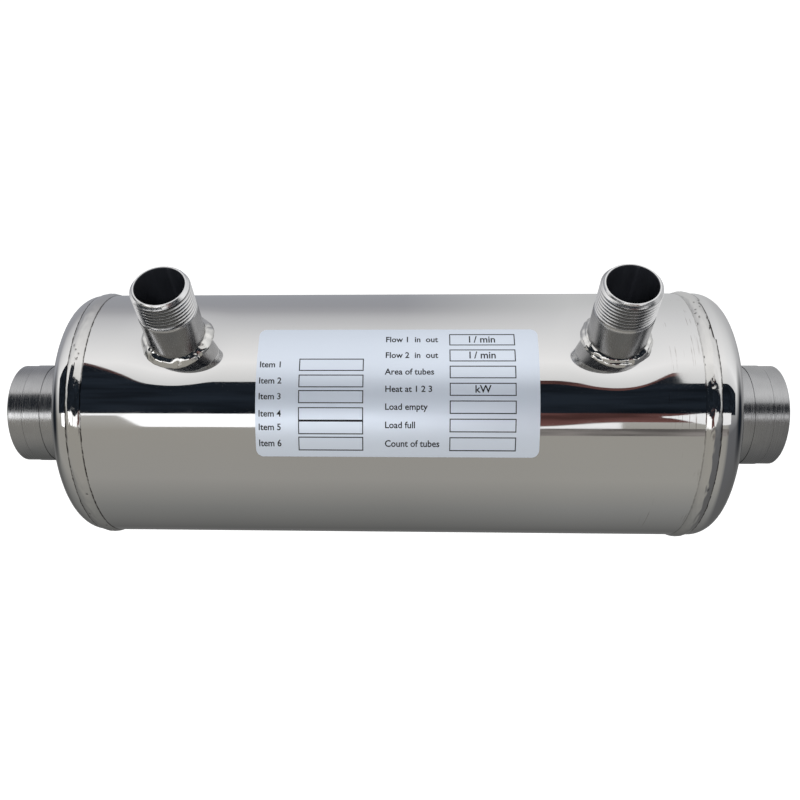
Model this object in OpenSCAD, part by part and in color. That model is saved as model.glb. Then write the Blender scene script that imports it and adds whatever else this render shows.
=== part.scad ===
// Shell and tube heat exchanger, welded from stainless steel.
// One liquid runs through the end sockets, the dished heads and the tubes,
// the other through the nozzles and the shell around the tubes.
// Millimetres. The origin is the centre of the left socket's mouth,
// +X runs along the shell to the right socket and +Z points up the nozzles.

/* [Shell] */
// Length from one socket mouth to the other
overall_length = 480; // [460:1:700]
// Outer diameter of the shell tube
shell_od = 152.4; // [146:0.1:168]
// Wall of the shell tube
shell_wall = 2; // [1.5:0.1:3]

/* [Dished heads] */
// Distance from the socket mouth to the outer face of the tube sheet
sheet_inset = 57.6; // [52:0.1:70]
// Plate thickness of a head
head_wall = 2; // [1.5:0.1:3]
// Straight skirt left on the left head, from the tube sheet to the knuckle
left_skirt = 0.8; // [0.4:0.1:6]
// Straight skirt left on the right head, from the tube sheet to the knuckle
right_skirt = 3.9; // [0.4:0.1:6]
// Knuckle radius on the outside of a head
head_knuckle = 13; // [8:0.5:20]
// Crown radius on the outside of a head
head_crown = 165; // [120:1:240]

/* [End sockets] */
// Outer diameter of a socket
socket_od = 62; // [56:0.1:70]
// Length of a socket, from its mouth into the head
socket_length = 37; // [36:0.5:44]
// Core diameter of the socket's internal pipe thread
socket_bore = 44.84; // [40:0.01:50]
// Chamfer at the mouth of the bore
socket_chamfer = 0.8; // [0.4:0.1:2]
// Start of the raised turned band, from the mouth
band_start = 9.5; // [6:0.1:12]
// Width of the raised turned band
band_width = 10.9; // [6:0.1:12]
// Height of the raised turned band
band_rise = 0.3; // [0.1:0.05:0.6]

/* [Nozzles] */
// Left nozzle axis, from the left socket's mouth
nozzle_left = 117.2; // [105:0.1:130]
// Right nozzle axis, from the right socket's mouth
nozzle_right = 110.8; // [105:0.1:130]
// Tip of a nozzle above the outside of the shell
nozzle_height = 41.3; // [34:0.1:70]
// Outer diameter of the nozzle pipe
pipe_od = 33.7; // [26:0.1:40]
// Wall of the nozzle pipe
pipe_wall = 3.2; // [2.6:0.1:4]
// Depth of the external pipe thread, pipe surface to mean thread diameter
thread_drop = 0.23; // [0.1:0.01:0.5]
// Length of the threaded end
thread_length = 19; // [14:0.5:24]
// Chamfer at the tip of a nozzle
tip_chamfer = 1.9; // [0.4:0.1:2.4]
// Reach of the nozzle pipe past the inside of the shell
nozzle_inside = 3; // [2.5:0.1:8]

/* [Welds] */
// Width of the bead round a shell end
seam_width = 8.4; // [7:0.1:12]
// Crown height of the bead round a shell end
seam_rise = 1.2; // [0.5:0.1:2]
// Leg of the fillet round a nozzle
nozzle_leg = 4.6; // [3:0.1:8]
// Bulge of that fillet's face
nozzle_bulge = 0.9; // [0:0.1:1.5]
// Depth of the ripples along that fillet
ripple_depth = 0.35; // [0:0.05:0.6]
// Number of ripples round a nozzle
ripple_count = 19; // [8:1:30]
// Leg of the fillet between a head and its socket
socket_leg = 2.6; // [1.5:0.1:4]

/* [Tube bundle] */
// Outer diameter of a tube
tube_od = 12; // [8:0.1:14]
// Wall of a tube
tube_wall = 1; // [0.6:0.1:1.5]
// Room between the outermost tubes and the inside of the shell
bundle_room = 11.2; // [4:0.1:16]
// Stand of the tube ends past the tube sheet
tube_stand = 1.5; // [0.5:0.1:3]
// Thickness of a tube sheet
sheet_thickness = 6; // [4:0.5:6.5]
// Thickness of a baffle
baffle_thickness = 2; // [1:0.1:4]

/* [Rating plate] */
// Distance from a nozzle's axis to the near end of the plate
plate_clear = 46.5; // [32:0.5:80]
// Arc that the plate covers round the shell, in degrees
plate_arc = 58; // [30:1:70]
// Turn of the plate's middle from the nozzles to the front, in degrees
plate_turn = 25.3; // [15:0.1:60]
// Shift of the plate's middle from halfway between the nozzles
plate_shift = 1.8; // [-8:0.1:8]
// Thickness of the plate
plate_thickness = 0.4; // [0.3:0.1:1]
// Corner radius of the plate
plate_corner = 4; // [2:0.5:8]

/* [Fits] */
// Radial play of a pipe or tube in the hole it is welded or rolled into
hole_play = 0.1; // [0.05:0.01:0.2]
// Radial play of a tube in a baffle
baffle_play = 0.25; // [0.1:0.05:0.5]
// Radial play of a baffle in the shell
baffle_gap = 0.6; // [0.3:0.1:0.9]
// Gap between a fillet's faceted back and the round metal it lies on
bead_gap = 0.05; // [0.02:0.01:0.1]
// Glue film between the rating plate and the shell
glue_film = 0.1; // [0.05:0.01:0.3]

/* [Hidden] */
$fn = 180;
cut = 1;

shell_r = shell_od / 2;
shell_ir = shell_r - shell_wall;
shell_start = sheet_inset + sheet_thickness;
shell_length = overall_length - 2 * shell_start;
seam_middle = sheet_inset + sheet_thickness / 2;

// Centres of the knuckle and crown arcs, as [radius, depth] from the tube sheet
arc_distance = head_crown - head_knuckle;
function knuckle_centre(skirt) = [shell_r - head_knuckle, skirt];
function crown_centre(skirt) = [0, skirt - sqrt(pow(arc_distance, 2) - pow(shell_r - head_knuckle, 2))];
function crown_depth(skirt, r) = crown_centre(skirt)[1] + sqrt(pow(head_crown, 2) - pow(r, 2));
socket_r = socket_od / 2;

pipe_r = pipe_od / 2;
pipe_bore_r = pipe_r - pipe_wall;
thread_r = pipe_r - thread_drop;
nozzle_tip = shell_r + nozzle_height;
nozzle_foot = shell_ir - nozzle_inside;
left_nozzle_x = nozzle_left;
right_nozzle_x = overall_length - nozzle_right;

plate_length = right_nozzle_x - left_nozzle_x - 2 * plate_clear;
plate_middle = (left_nozzle_x + right_nozzle_x) / 2 + plate_shift;

// Tubes in each row of the hexagonal bundle, from the lowest row up
row_counts = [4, 5, 6, 7, 6, 5, 4];
middle_row = (len(row_counts) - 1) / 2;
tube_r = tube_od / 2;
tube_pitch = (shell_ir - bundle_room - tube_r) / middle_row;
row_rise = tube_pitch * sin(60);
tube_length = overall_length - 2 * (sheet_inset - tube_stand);
// A baffle stops half a row short of the outermost row on its open side
baffle_edge = (middle_row - 0.5) * row_rise;
baffle_count = 3;
baffle_step = shell_length / (baffle_count + 1);

function row_height(row) = (row - 1 - middle_row) * row_rise;
function tube_offset(row, i) = (i - (row_counts[row - 1] - 1) / 2) * tube_pitch;

// Mirrors a piece of the left end to the right end
module at_right_end() {
    translate([overall_length, 0, 0])
        mirror([1, 0, 0])
            children();
}

// Turns a shape drawn along +Z to run along +X from a given place
module along_shell(start) {
    translate([start, 0, 0])
        rotate([0, 90, 0])
            children();
}

// Turns a shape drawn along +Z to run outward from the left tube sheet
module out_of_left_end() {
    translate([sheet_inset, 0, 0])
        rotate([0, -90, 0])
            children();
}

// Every tube's place in the bundle, for shapes drawn along +X
module at_each_tube(rows) {
    for (row = rows)
        for (i = [0 : row_counts[row - 1] - 1])
            translate([0, tube_offset(row, i), row_height(row)])
                children();
}

module tube_holes(start, length, play) {
    at_each_tube([1 : len(row_counts)])
        along_shell(start - cut)
            cylinder(r = tube_r + play, h = length + 2 * cut);
}

module shell() {
    color("gainsboro")
        difference() {
            along_shell(shell_start)
                cylinder(r = shell_r, h = shell_length);
            along_shell(shell_start - cut)
                cylinder(r = shell_ir, h = shell_length + 2 * cut);
            for (x = [left_nozzle_x, right_nozzle_x])
                translate([x, 0, 0])
                    cylinder(r = pipe_r + hole_play, h = nozzle_tip);
        }
}

module tube_sheet() {
    color("silver")
        difference() {
            along_shell(sheet_inset)
                cylinder(r = shell_r, h = sheet_thickness);
            tube_holes(sheet_inset, sheet_thickness, hole_play);
        }
}

// Half section of a dished head, filled to the axis and drawn in by inset
module head_section(skirt, inset) {
    knuckle = head_knuckle - inset;
    crown = head_crown - inset;
    bend = knuckle_centre(skirt);
    middle = crown_centre(skirt);
    tangent = middle + (bend - middle) * crown / arc_distance;
    top = crown_depth(skirt, 0) + cut;
    square([shell_r - inset, skirt]);
    intersection() {
        translate(bend)
            circle(knuckle);
        square([shell_r, top]);
    }
    intersection() {
        translate(middle)
            circle(crown, $fn = 4 * $fn);
        polygon([[0, 0], [bend[0], 0], bend, tangent, [tangent[0], top], [0, top]]);
    }
}

module head(skirt) {
    color("gainsboro")
        out_of_left_end()
            rotate_extrude()
                difference() {
                    head_section(skirt, 0);
                    head_section(skirt, head_wall);
                    square([socket_r + hole_play, crown_depth(skirt, 0) + cut]);
                    translate([0, -cut])
                        square([shell_r - head_wall, cut]);
                }
}

// Half section of a socket: radius across, distance from the mouth upward
module socket_section() {
    bore_r = socket_bore / 2;
    band_end = band_start + band_width;
    band_r = socket_r + band_rise;
    polygon([
        [bore_r + socket_chamfer, 0], [socket_r, 0],
        [socket_r, band_start], [band_r, band_start],
        [band_r, band_end], [socket_r, band_end],
        [socket_r, socket_length], [bore_r, socket_length],
        [bore_r, socket_chamfer]
    ]);
}

module socket() {
    color("darkgray")
        along_shell(0)
            rotate_extrude()
                socket_section();
}

// Fillet between the crown of a head and its socket
module socket_weld(skirt) {
    foot_r = socket_r + hole_play;
    toe_r = foot_r + socket_leg;
    toe_depth = crown_depth(skirt, toe_r);
    foot_depth = crown_depth(skirt, foot_r);
    color("gainsboro")
        out_of_left_end()
            rotate_extrude()
                difference() {
                    polygon([
                        [socket_r, toe_depth - cut], [toe_r, toe_depth - cut], [toe_r, toe_depth],
                        [foot_r, foot_depth + socket_leg], [socket_r, foot_depth + socket_leg]
                    ]);
                    head_section(skirt, 0);
                }
}

module nozzle(x) {
    color("silver")
        translate([x, 0, 0])
            rotate_extrude()
                polygon([
                    [pipe_bore_r, nozzle_foot], [pipe_r, nozzle_foot],
                    [pipe_r, nozzle_tip - thread_length], [thread_r, nozzle_tip - thread_length],
                    [thread_r, nozzle_tip - tip_chamfer], [thread_r - tip_chamfer, nozzle_tip],
                    [pipe_bore_r, nozzle_tip]
                ]);
}

// Crowned bead over the joint of shell, tube sheet and head
module seam_weld() {
    bead_r = (pow(seam_width / 2, 2) + pow(seam_rise, 2)) / (2 * seam_rise);
    color("gainsboro")
        along_shell(seam_middle)
            rotate_extrude()
                difference() {
                    translate([shell_r + seam_rise - bead_r, 0])
                        circle(bead_r);
                    translate([shell_r - 2 * bead_r, -seam_width])
                        square([2 * bead_r, 2 * seam_width]);
                }
}

// Height of the shell's surface at a radius and angle round a nozzle
function saddle(r, a) = sqrt(pow(shell_r, 2) - pow(r * sin(a), 2));

// Leg of the nozzle fillet, rippled round the pipe
function fillet_leg(a) = nozzle_leg + ripple_depth * sin(ripple_count * a) + ripple_depth * sin(3 * a);

// Point on the fillet's back, lying on the shell, from the root (t = 0) to the toe (t = 1)
function back_point(a, t) =
    let (r = pipe_r + bead_gap + t * fillet_leg(a))
    [r * cos(a), r * sin(a), saddle(r, a) + bead_gap];

// Point on the fillet's face, from the toe (t = 0) to the pipe (t = 1)
function face_point(a, t) =
    let (leg = fillet_leg(a))
    let (root = pipe_r + bead_gap)
    let (swell = nozzle_bulge * sin(180 * t))
    let (r = root + (1 - t) * leg + swell * sin(45))
    let (toe_z = saddle(root + leg, a))
    let (top_z = saddle(root, a) + leg)
    [r * cos(a), r * sin(a), (1 - t) * toe_z + t * top_z + swell * cos(45) + bead_gap];

// Fillet that follows the saddle where a round nozzle meets the round shell
module nozzle_weld(x) {
    turns = 120;
    back_steps = [0, 0.35, 0.7];
    face_steps = [0, 0.2, 0.4, 0.6, 0.8, 1];
    ring = len(back_steps) + len(face_steps);
    points = [
        for (k = [0 : turns - 1])
            let (a = 360 * k / turns)
            each concat([for (t = back_steps) back_point(a, t)], [for (t = face_steps) face_point(a, t)])
    ];
    faces = [
        for (k = [0 : turns - 1])
            for (j = [0 : ring - 1])
                let (here = k * ring)
                let (next = ((k + 1) % turns) * ring)
                let (up = (j + 1) % ring)
                each [[here + j, here + up, next + up], [here + j, next + up, next + j]]
    ];
    color("gainsboro")
        translate([x, 0, 0])
            polyhedron(points, faces, convexity = 6);
}

// Flat outline of the rating plate, with round corners
module plate_outline(width) {
    for (s = [-1, 1])
        for (t = [-1, 1])
            translate([s * (plate_length / 2 - plate_corner), t * (width / 2 - plate_corner)])
                circle(plate_corner);
    square([plate_length - 2 * plate_corner, width], center = true);
    square([plate_length, width - 2 * plate_corner], center = true);
}

module rating_plate() {
    chord = 2 * shell_r * sin(plate_arc / 2);
    back_r = shell_r + glue_film;
    color("whitesmoke")
        translate([plate_middle, 0, 0])
            rotate([plate_turn, 0, 0])
                intersection() {
                    linear_extrude(shell_od)
                        plate_outline(chord);
                    difference() {
                        along_shell(-plate_length)
                            cylinder(r = back_r + plate_thickness, h = 2 * plate_length);
                        along_shell(-plate_length - cut)
                            cylinder(r = back_r, h = 2 * (plate_length + cut));
                    }
                }
}

module tube_row(row) {
    color("silver")
        at_each_tube([row])
            along_shell(sheet_inset - tube_stand)
                difference() {
                    cylinder(r = tube_r, h = tube_length);
                    translate([0, 0, -cut])
                        cylinder(r = tube_r - tube_wall, h = tube_length + 2 * cut);
                }
}

// Segment plate that turns the flow: side 1 leaves the top open, side -1 the bottom
module baffle(place, side) {
    start = shell_start + place * baffle_step - baffle_thickness / 2;
    color("silver")
        difference() {
            along_shell(start)
                cylinder(r = shell_ir - baffle_gap, h = baffle_thickness);
            tube_holes(start, baffle_thickness, baffle_play);
            translate([start + baffle_thickness / 2, 0, side * (baffle_edge + shell_r)])
                cube([baffle_thickness + 2 * cut, 2 * shell_od, 2 * shell_r], center = true);
        }
}

shell();
tube_sheet();  // left_tube_sheet
at_right_end() tube_sheet();  // right_tube_sheet
head(left_skirt);  // left_head
at_right_end() head(right_skirt);  // right_head
socket();  // left_socket
at_right_end() socket();  // right_socket
nozzle(left_nozzle_x);  // left_nozzle
nozzle(right_nozzle_x);  // right_nozzle
seam_weld();  // left_seam_weld
at_right_end() seam_weld();  // right_seam_weld
socket_weld(left_skirt);  // left_socket_weld
at_right_end() socket_weld(right_skirt);  // right_socket_weld
nozzle_weld(left_nozzle_x);  // left_nozzle_weld
nozzle_weld(right_nozzle_x);  // right_nozzle_weld
rating_plate();
tube_row(1);  // tube_row_1
tube_row(2);  // tube_row_2
tube_row(3);  // tube_row_3
tube_row(4);  // tube_row_4
tube_row(5);  // tube_row_5
tube_row(6);  // tube_row_6
tube_row(7);  // tube_row_7
baffle(1, 1);  // baffle_1
baffle(2, -1);  // baffle_2
baffle(3, 1);  // baffle_3
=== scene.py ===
import math

import bmesh
import bpy
from mathutils import Matrix, Vector, noise


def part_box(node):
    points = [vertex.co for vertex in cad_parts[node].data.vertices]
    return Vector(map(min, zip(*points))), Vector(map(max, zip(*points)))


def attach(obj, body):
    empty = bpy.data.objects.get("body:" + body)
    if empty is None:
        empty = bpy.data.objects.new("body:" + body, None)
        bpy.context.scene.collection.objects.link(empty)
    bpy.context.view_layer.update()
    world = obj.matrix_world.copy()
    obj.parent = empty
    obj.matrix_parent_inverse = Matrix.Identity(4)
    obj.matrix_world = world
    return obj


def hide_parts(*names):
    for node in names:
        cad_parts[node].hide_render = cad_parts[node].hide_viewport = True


# Looks of a welded stainless heat exchanger: polished shell, threaded nozzles and sockets
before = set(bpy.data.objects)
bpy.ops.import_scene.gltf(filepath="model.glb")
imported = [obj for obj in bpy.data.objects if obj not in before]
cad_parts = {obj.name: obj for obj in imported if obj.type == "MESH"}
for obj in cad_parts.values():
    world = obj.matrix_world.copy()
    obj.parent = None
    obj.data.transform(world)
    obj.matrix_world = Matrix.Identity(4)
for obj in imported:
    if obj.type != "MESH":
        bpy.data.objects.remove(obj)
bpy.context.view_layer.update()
print("frame loaded", len(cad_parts), "nodes")

mm = 0.001
fullTurn = 2 * math.pi
sharpAngle = math.radians(32)
tiny = 0.01 * mm
sliver = 0.005 * mm
mergeGap = 0.0001 * mm


def reachOf(node):
    return max(math.hypot(v.co.y, v.co.z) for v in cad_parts[node].data.vertices)


# places that the frame gives
ends = ("left", "right")
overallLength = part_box("right_socket")[1].x
shellRadius = reachOf("shell")
shellStart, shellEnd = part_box("shell")[0].x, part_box("shell")[1].x
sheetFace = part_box("left_tube_sheet")[0].x
seamMiddle = (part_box("left_seam_weld")[0].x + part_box("left_seam_weld")[1].x) / 2
nozzleX = {e: (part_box(e + "_nozzle")[0].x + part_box(e + "_nozzle")[1].x) / 2 for e in ends}
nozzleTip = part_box("left_nozzle")[1].z
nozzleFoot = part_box("left_nozzle")[0].z
plateLow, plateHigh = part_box("rating_plate")


# Material helpers
def newMaterial(name, base, metallic, roughness):
    material = bpy.data.materials.new(name)
    material.use_nodes = True
    shader = material.node_tree.nodes["Principled BSDF"]
    shader.inputs["Base Color"].default_value = (*base, 1)
    shader.inputs["Metallic"].default_value = metallic
    shader.inputs["Roughness"].default_value = roughness
    return material, material.node_tree.nodes, material.node_tree.links, shader


def objectPlace(nodes, links, stretch=(1, 1, 1)):
    place = nodes.new("ShaderNodeTexCoord")
    mapping = nodes.new("ShaderNodeMapping")
    mapping.inputs["Scale"].default_value = stretch
    links.new(place.outputs["Object"], mapping.inputs["Vector"])
    return mapping.outputs["Vector"]


def grain(nodes, links, scale, detail, stretch=(1, 1, 1)):
    texture = nodes.new("ShaderNodeTexNoise")
    texture.inputs["Scale"].default_value = scale
    texture.inputs["Detail"].default_value = detail
    texture.inputs["Roughness"].default_value = 0.55
    links.new(objectPlace(nodes, links, stretch), texture.inputs["Vector"])
    return texture.outputs["Fac"]


def spread(nodes, links, source, fromLow, fromHigh, toLow, toHigh):
    change = nodes.new("ShaderNodeMapRange")
    change.inputs["From Min"].default_value = fromLow
    change.inputs["From Max"].default_value = fromHigh
    change.inputs["To Min"].default_value = toLow
    change.inputs["To Max"].default_value = toHigh
    links.new(source, change.inputs["Value"])
    return change.outputs["Result"]


def mixColour(nodes, links, source, first, second):
    mix = nodes.new("ShaderNodeMix")
    mix.data_type = "RGBA"
    links.new(source, mix.inputs["Factor"])
    for socket, colour in ((mix.inputs["A"], first), (mix.inputs["B"], second)):
        if isinstance(colour, tuple):
            socket.default_value = (*colour, 1)
        else:
            links.new(colour, socket)
    return mix.outputs["Result"]


def paint(nodes, links, shader, source, first, second):
    links.new(mixColour(nodes, links, source, first, second), shader.inputs["Base Color"])


def roughen(nodes, links, shader, source, rough, noiseRange=(0.3, 0.7)):
    links.new(spread(nodes, links, source, *noiseRange, *rough), shader.inputs["Roughness"])


def bumpOn(nodes, links, shader, height, distance):
    bump = nodes.new("ShaderNodeBump")
    bump.inputs["Strength"].default_value = 1
    bump.inputs["Distance"].default_value = distance
    links.new(height, bump.inputs["Height"])
    links.new(bump.outputs["Normal"], shader.inputs["Normal"])


# Polished steel of shell and heads: soft clouds of wear over slow ripples from the polishing wheel
polishedSet = {"base": (0.74, 0.735, 0.725), "roughness": 0.045,
               "light": (0.755, 0.755, 0.755), "dark": (0.715, 0.715, 0.718),
               "rough": (0.03, 0.075), "wear": 38, "wearRange": (0.35, 0.75), "ripple": 26,
               "rippleStretch": (0.35, 1, 1), "rippleHeight": 0.06 * mm}


def polishedSteel():
    s = polishedSet
    material, nodes, links, shader = newMaterial("polished steel", s["base"], 1, s["roughness"])
    wear = grain(nodes, links, s["wear"], 5)
    roughen(nodes, links, shader, wear, s["rough"], s["wearRange"])
    ripple = grain(nodes, links, s["ripple"], 1, s["rippleStretch"])
    paint(nodes, links, shader, ripple, s["light"], s["dark"])
    bumpOn(nodes, links, shader, ripple, s["rippleHeight"])
    return material


# The shell also has fine grinding scratches round it, beside its right seam
scratchSet = {"from": (0.386, 0.398), "lines": 900, "lineStretch": (1, 0.02, 0.02), "lineRange": (0.6, 0.68),
              "strength": 0.75, "patches": 55, "patchRange": (0.5, 0.62), "colour": (0.3, 0.27, 0.25)}


def scratchedSteel():
    s = scratchSet
    material = polishedSteel()
    material.name = "scratched steel"
    nodes, links = material.node_tree.nodes, material.node_tree.links
    shader = nodes["Principled BSDF"]
    clean = shader.inputs["Base Color"].links[0].from_socket
    split = nodes.new("ShaderNodeSeparateXYZ")
    links.new(objectPlace(nodes, links), split.inputs["Vector"])
    rise = spread(nodes, links, split.outputs["X"], *s["from"], 0, 1)
    lines = grain(nodes, links, s["lines"], 2, s["lineStretch"])
    patches = grain(nodes, links, s["patches"], 3)
    mark = spread(nodes, links, lines, *s["lineRange"], 0, s["strength"])
    for other in (rise, spread(nodes, links, patches, *s["patchRange"], 0, 1)):
        times = nodes.new("ShaderNodeMath")
        times.operation = "MULTIPLY"
        links.new(mark, times.inputs[0])
        links.new(other, times.inputs[1])
        mark = times.outputs["Value"]
    paint(nodes, links, shader, mark, clean, s["colour"])
    return material


# Turned steel of the sockets: fine rings from the lathe; its colour is kept dark all round as painted shade,
# in place of darker reflections
turnedSet = {"base": (0.62, 0.615, 0.605), "roughness": 0.22,
             "dark": (0.36, 0.362, 0.37), "light": (0.55, 0.552, 0.56), "wear": 60, "rough": (0.15, 0.32),
             "rings": 2600, "ringStretch": (1, 0.004, 0.004), "ringHeight": 0.02 * mm}


def turnedSteel():
    s = turnedSet
    material, nodes, links, shader = newMaterial("turned steel", s["base"], 1, s["roughness"])
    rings = grain(nodes, links, s["rings"], 2, s["ringStretch"])
    roughen(nodes, links, shader, rings, s["rough"])
    bumpOn(nodes, links, shader, rings, s["ringHeight"])
    paint(nodes, links, shader, grain(nodes, links, s["wear"], 4), s["dark"], s["light"])
    return material


# Satin pipe of the nozzles, with faint streaks along it; its colour is kept dark as painted shade, in place
# of the darker reflections beside the shell
pipeSet = {"base": (0.36, 0.355, 0.345), "roughness": 0.16,
           "dark": (0.31, 0.31, 0.314), "light": (0.41, 0.41, 0.415), "wear": 120, "rough": (0.2, 0.32),
           "streaks": 420, "streakStretch": (1, 1, 0.03), "streakHeight": 0.003 * mm}


def pipeSteel():
    s = pipeSet
    material, nodes, links, shader = newMaterial("pipe steel", s["base"], 1, s["roughness"])
    streaks = grain(nodes, links, s["streaks"], 3, s["streakStretch"])
    roughen(nodes, links, shader, streaks, s["rough"])
    bumpOn(nodes, links, shader, streaks, s["streakHeight"])
    paint(nodes, links, shader, grain(nodes, links, s["wear"], 4), s["dark"], s["light"])
    return material


# Inside the nozzles: near-black steel with faint mottling, as painted shade down the bore
boreShadeSet = {"base": (0.02, 0.022, 0.028), "metal": 0.4, "roughness": 0.4,
           "dark": (0.01, 0.011, 0.015), "light": (0.045, 0.049, 0.06),
           "film": 160, "mottleStretch": (1, 1, 0.3), "mottleHeight": 0.05 * mm}


def boreShadeSteel():
    s = boreShadeSet
    material, nodes, links, shader = newMaterial("bore painted shade", s["base"], s["metal"], s["roughness"])
    film = grain(nodes, links, s["film"], 4, s["mottleStretch"])
    paint(nodes, links, shader, film, s["dark"], s["light"])
    bumpOn(nodes, links, shader, film, s["mottleHeight"])
    return material


# Welds and cut threads: an attribute darkens pits, toes, undercuts and thread roots; this is painted shade in
# the pits, undercuts, thread roots and the nozzle fillets' toes and creases, and stain on the socket fillets'
# faces
weldSets = {
    "polished weld": {"clean": (0.72, 0.715, 0.705), "stainAndShade": (0.03, 0.025, 0.022), "rough": (0.04, 0.1),
                      "lump": 0.02 * mm},
    "rough weld": {"clean": (0.74, 0.735, 0.72), "stainAndShade": (0.05, 0.042, 0.036), "rough": (0.06, 0.16),
                   "lump": 0.03 * mm},
    "cut thread": {"clean": (0.8, 0.8, 0.805), "stainAndShade": (0.022, 0.023, 0.027), "rough": (0.17, 0.28),
                   "lump": 0.01 * mm},
}
weldGrain = 900


def weldSteel(name):
    s = weldSets[name]
    material, nodes, links, shader = newMaterial(name, s["clean"], 1, s["rough"][0])
    fine = grain(nodes, links, weldGrain, 3)
    marks = nodes.new("ShaderNodeAttribute")
    marks.attribute_name = "stainAndShade"
    paint(nodes, links, shader, marks.outputs["Fac"], s["clean"], s["stainAndShade"])
    roughen(nodes, links, shader, fine, s["rough"])
    bumpOn(nodes, links, shader, fine, s["lump"])
    return material


# Plain mill finish of the tube sheets, baffles and tubes
plainSets = {"sheet steel": {"light": (0.46, 0.455, 0.45), "dark": (0.3, 0.295, 0.29)},
             "tube steel": {"light": (0.5, 0.49, 0.48), "dark": (0.34, 0.33, 0.32)}}
plainFilm, plainRough, plainRoughness = 90, (0.3, 0.5), 0.4


def plainSteel(name):
    s = plainSets[name]
    material, nodes, links, shader = newMaterial(name, s["light"], 1, plainRoughness)
    film = grain(nodes, links, plainFilm, 4)
    paint(nodes, links, shader, film, s["light"], s["dark"])
    roughen(nodes, links, shader, film, plainRough)
    return material


# Silver foil of the plate, brushed along it, and its black print
foilSet = {"base": (0.69, 0.755, 0.855), "metal": 0.6, "roughness": 0.32,
           "dark": (0.665, 0.73, 0.83), "light": (0.715, 0.775, 0.87), "rough": (0.29, 0.35),
           "clouds": 22, "cloudStretch": (0.5, 1, 1), "brush": 900, "brushStretch": (0.05, 1, 1)}
inkSet = {"base": (0.02, 0.02, 0.022), "roughness": 0.5, "shine": 0.2,
          "dark": (0.006, 0.006, 0.008), "light": (0.022, 0.022, 0.025), "wear": 1500}


def plateFoil():
    s = foilSet
    material, nodes, links, shader = newMaterial("silver foil", s["base"], s["metal"], s["roughness"])
    paint(nodes, links, shader, grain(nodes, links, s["clouds"], 2, s["cloudStretch"]), s["dark"], s["light"])
    roughen(nodes, links, shader, grain(nodes, links, s["brush"], 2, s["brushStretch"]), s["rough"])
    return material


def printInk():
    s = inkSet
    material, nodes, links, shader = newMaterial("black print", s["base"], 0, s["roughness"])
    shader.inputs["Specular IOR Level"].default_value = s["shine"]
    paint(nodes, links, shader, grain(nodes, links, s["wear"], 2), s["dark"], s["light"])
    return material


polished = polishedSteel()
scratched = scratchedSteel()
turned = turnedSteel()
pipe = pipeSteel()
bore = boreShadeSteel()
seamBead = weldSteel("polished weld")
nozzleBead = weldSteel("rough weld")
thread = weldSteel("cut thread")
sheetSteel = plainSteel("sheet steel")
tubeSteel = plainSteel("tube steel")
foil = plateFoil()
ink = printInk()
print("materials ready")


# Mesh helpers
def clamp(value):
    return max(0, min(1, value))


def line(bm, points):
    verts = [bm.verts.new(p) for p in points]
    return verts, [bm.edges.new(pair) for pair in zip(verts, verts[1:])]


def arcOn(bm, vert, centre, degrees, steps):
    # carries a profile on from its last point along an arc in the XZ plane
    turnedBy = math.radians(degrees)
    made = bmesh.ops.spin(bm, geom=[vert], cent=centre, axis=(0, 1, 0), angle=turnedBy, steps=steps)
    return next(g for g in made["geom_last"] if isinstance(g, bmesh.types.BMVert))


def everything(bm):
    return bm.verts[:] + bm.edges[:] + bm.faces[:]


def lathe(bm, steps):
    bmesh.ops.spin(bm, geom=everything(bm), cent=(0, 0, 0), axis=(1, 0, 0), angle=fullTurn, steps=steps,
                   use_merge=True)
    bmesh.ops.remove_doubles(bm, verts=bm.verts[:], dist=mergeGap)
    bmesh.ops.recalc_face_normals(bm, faces=bm.faces[:])


def cut(bm, place, direction, clear=False):
    bmesh.ops.bisect_plane(bm, geom=everything(bm), plane_co=place, plane_no=direction, clear_outer=clear)


def toEnd(bm, end):
    # pieces are made for the left end and mirrored to the right one
    if end == "right":
        swap = Matrix.Translation((overallLength, 0, 0)) @ Matrix.Scale(-1, 4, (1, 0, 0))
        bmesh.ops.transform(bm, matrix=swap, verts=bm.verts[:])
        bmesh.ops.reverse_faces(bm, faces=bm.faces[:])


def asPiece(name, bm, materials, slotName, *nodes):
    for face in bm.faces:
        face.smooth = True
    for edge in bm.edges:
        edge.smooth = not edge.is_manifold or edge.calc_face_angle(0) < sharpAngle
    mesh = bpy.data.meshes.new(name)
    bm.to_mesh(mesh)
    bm.free()
    for material in materials:
        mesh.materials.append(material)
    piece = bpy.data.objects.new(name, mesh)
    bpy.context.scene.collection.objects.link(piece)
    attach(piece, "root")
    if nodes:
        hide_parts(*nodes)
    return piece


# Shell tube, with a round hole under each nozzle; zone is the finer mesh beside a nozzle
shellSet = {"wall": 2 * mm, "hole": 16.95 * mm, "zone": 44 * mm, "zoneCuts": 43, "steps": 280,
            "drawIn": 4.6 * mm, "drawReach": 36 * mm}


def drawnIn(x, y):
    # welding draws the shell in a little round each nozzle
    near = (max(0, 1 - math.hypot(x - middle, y) / shellSet["drawReach"]) for middle in nozzleX.values())
    return shellSet["drawIn"] * sum(n * n for n in near)


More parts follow.
